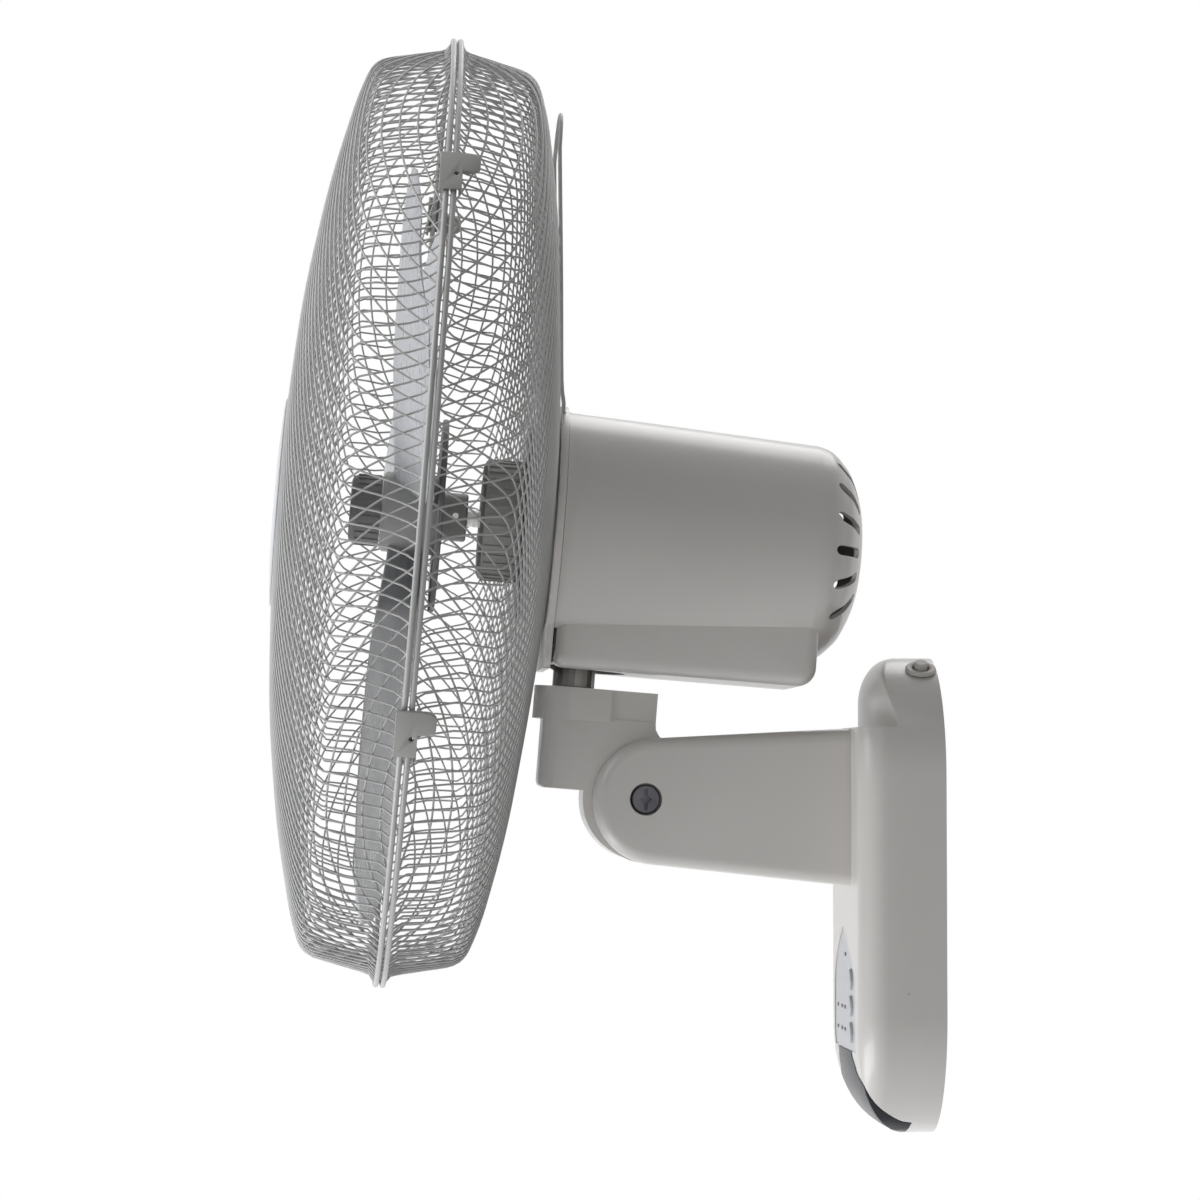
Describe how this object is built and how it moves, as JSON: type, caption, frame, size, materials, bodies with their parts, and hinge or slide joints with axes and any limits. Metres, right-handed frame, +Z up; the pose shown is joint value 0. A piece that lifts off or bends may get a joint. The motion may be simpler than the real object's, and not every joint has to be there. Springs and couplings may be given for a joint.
{
  "type": "wall mounted fan",
  "caption": "Oscillating wall fan: round wire mesh guard with broad plastic blades, motor housing with vents, tilting neck and a pill-shaped wall base with buttons.",
  "frame": {"origin": "centre of the back face of the wall bracket, on the wall plane", "axes": "+Y into the wall, -Y the way the fan blows, +Z up, +X to the left of someone who faces the fan"},
  "size_m": [0.4494, 0.3153, 0.5172],
  "materials": {
    "shell_plastic": "satin moulded warm white",
    "panel_plastic": "satin moulded cool white",
    "inner_plastic": "matt moulded",
    "window_plastic": "glossy smoked",
    "guard_wire": "light grey coated wire",
    "clip_plastic": "matt moulded grey",
    "blade_plastic": "pale bluish grey, slightly see-through",
    "dark_plastic": "satin moulded dark",
    "nut_plastic": "matt moulded brown grey",
    "plated_steel": "zinc plated",
    "dark_steel": "dark plated",
    "cast_metal": "as cast",
    "winding_copper": "enamelled copper wire",
    "gear_brass": "machined",
    "circuit_board": "solder resist"
  },
  "bodies": {
    "wall_base": {"wall_bracket": "plated_steel", "base_shell": "shell_plastic", "back_cover": "inner_plastic", "cover_screw_1": "plated_steel", "cover_screw_2": "plated_steel", "cover_screw_3": "plated_steel", "cover_screw_4": "plated_steel", "lock_screw": "plated_steel", "cord_gland": "inner_plastic", "gland_plug": "inner_plastic", "control_panel": "panel_plastic", "receiver_window": "window_plastic", "control_board": "circuit_board", "board_screw_1": "plated_steel", "board_screw_2": "plated_steel", "tact_switch_1": "dark_plastic", "tact_switch_2": "dark_plastic", "tact_switch_3": "dark_plastic", "infrared_receiver": "dark_plastic", "run_capacitor": "dark_plastic", "terminal_block": "inner_plastic", "pivot_bolt": "dark_steel", "pivot_nut": "plated_steel"},
    "power_button": {"button_power": "panel_plastic"},
    "speed_button": {"button_speed": "panel_plastic"},
    "timer_button": {"button_timer": "panel_plastic"},
    "neck": {"neck_bracket": "shell_plastic", "swivel_post": "dark_steel", "swing_gear": "inner_plastic"},
    "head": {"swing_motor": "plated_steel", "swivel_cradle": "dark_steel", "motor_housing": "shell_plastic", "housing_flange": "shell_plastic", "front_bell": "cast_metal", "rear_bell": "cast_metal", "front_bearing": "plated_steel", "rear_bearing": "plated_steel", "stator_core": "dark_steel", "front_winding": "winding_copper", "rear_winding": "winding_copper", "clamp_plate": "dark_steel", "guard_nut": "nut_plastic", "rear_guard": "guard_wire", "front_guard": "guard_wire", "centre_badge": "panel_plastic", "wire_hoop": "guard_wire", "guard_clip_1": "clip_plastic", "guard_clip_2": "clip_plastic", "guard_clip_3": "clip_plastic", "guard_clip_4": "clip_plastic"},
    "pinion": {"swing_pinion": "gear_brass"},
    "rotor": {"motor_shaft": "plated_steel", "rotor_core": "dark_steel", "fan_blades": "blade_plastic", "spinner_cap": "dark_plastic", "drive_pin": "plated_steel"}
  },
  "joints": [
    {"name": "head_tilt", "type": "hinge", "parent": "wall_base", "child": "neck", "pos_m": [0, -0.1385, 0.0453], "axis": [1, 0, 0], "range_deg": [-10, 25]},
    {"name": "head_swing", "type": "hinge", "parent": "neck", "child": "head", "pos_m": [0, -0.17499, 0.0482], "axis": [0, 0.0793, 0.9968], "range_deg": [-45, 45]},
    {"name": "pinion_turn", "type": "hinge", "parent": "head", "child": "pinion", "pos_m": [0, -0.15704, 0.04678], "axis": [0, 0.0793, 0.9968], "range_deg": [-92, 92]},
    {"name": "rotor_spin", "type": "hinge", "parent": "head", "child": "rotor", "pos_m": [0, -0.2452, 0.18059], "axis": [0, -0.9968, 0.0793], "continuous": true},
    {"name": "power_press", "type": "slide", "parent": "wall_base", "child": "power_button", "axis": [0, 1, 0], "range_m": [0, 0.0008], "stiffness_N_per_m": 400},
    {"name": "speed_press", "type": "slide", "parent": "wall_base", "child": "speed_button", "axis": [0, 1, 0], "range_m": [0, 0.0008], "stiffness_N_per_m": 400},
    {"name": "timer_press", "type": "slide", "parent": "wall_base", "child": "timer_button", "axis": [0, 1, 0], "range_m": [0, 0.0008], "stiffness_N_per_m": 400}
  ],
  "couplings": [
    {"joint": "pinion_turn", "follows": "head_swing", "ratio": 2}
  ]
}
